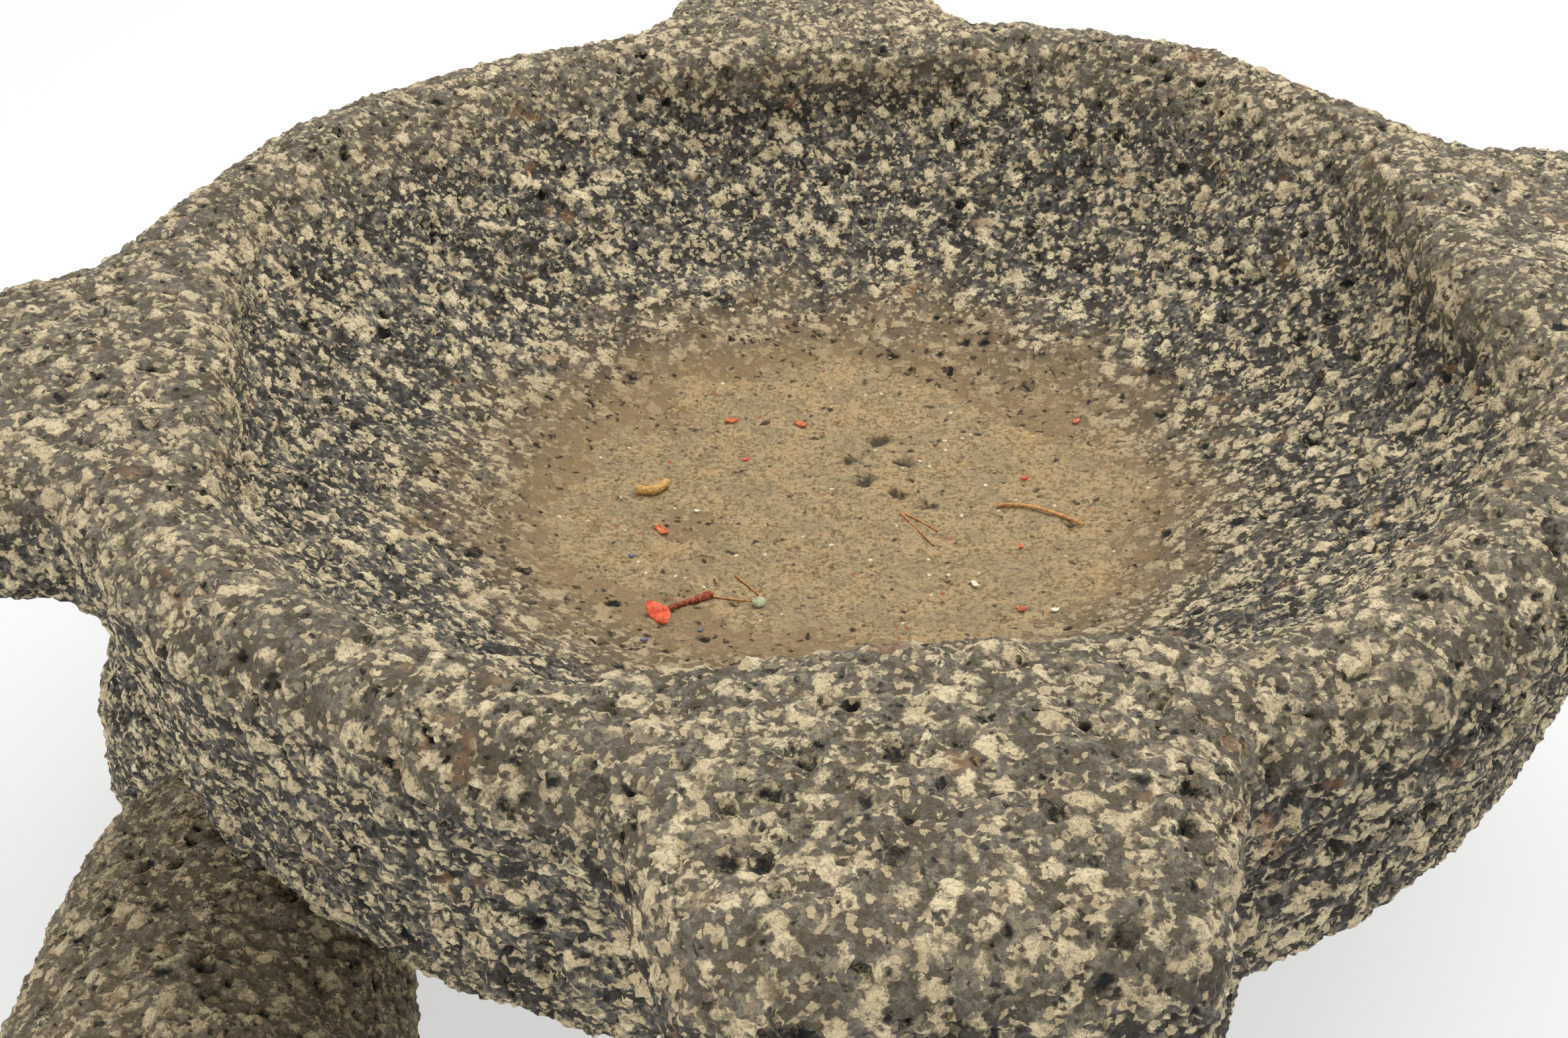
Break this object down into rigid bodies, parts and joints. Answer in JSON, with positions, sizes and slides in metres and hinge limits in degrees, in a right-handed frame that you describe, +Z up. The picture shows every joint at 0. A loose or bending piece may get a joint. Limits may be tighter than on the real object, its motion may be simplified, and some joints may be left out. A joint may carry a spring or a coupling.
{
  "type": "molcajete",
  "caption": "Round stone mortar with a wide shallow bowl, squared lugs round the rim and stout splayed legs, with its stone pestle lying beside it.",
  "frame": {"origin": "on the axis of the bowl, at the level of the table that the feet stand on", "axes": "+Z up along the axis of the bowl, -Y towards the front lug, +X to the right seen from the front"},
  "size_m": [0.2757, 0.2968, 0.1],
  "materials": {
    "stone": "rough hand-dressed vesicular basalt, mid grey with cream crystals and black pits",
    "pestle_stone": "the same basalt, browned by use",
    "paste": "dried ground chilli and spice paste, matt tan brown, cracked",
    "chilli": "dried red chilli skin, slightly glossy",
    "stem": "dried red-brown chilli stem, ribbed",
    "husk": "dry straw-coloured husk",
    "seed": "smooth pale chilli seed",
    "fibre": "thin dry plant fibre"
  },
  "bodies": {
    "root": {"basin": "stone", "lug_right": "stone", "lug_far": "stone", "lug_left": "stone", "lug_near": "stone", "leg_left": "stone", "leg_right": "stone", "leg_far": "stone", "residue": "paste", "chilli_skin": "chilli", "husk_curl": "husk", "pale_seed": "seed", "chilli_stem": "stem", "straw": "husk", "fine_fibres": "fibre", "crumbs": "chilli"},
    "pestle": {"tejolote": "pestle_stone"}
  },
  "joints": [
    {"name": "pestle_slide", "type": "slide", "parent": "root", "child": "pestle", "axis": [0.1736, -0.9848, 0], "range_m": [0, 0.15]}
  ]
}
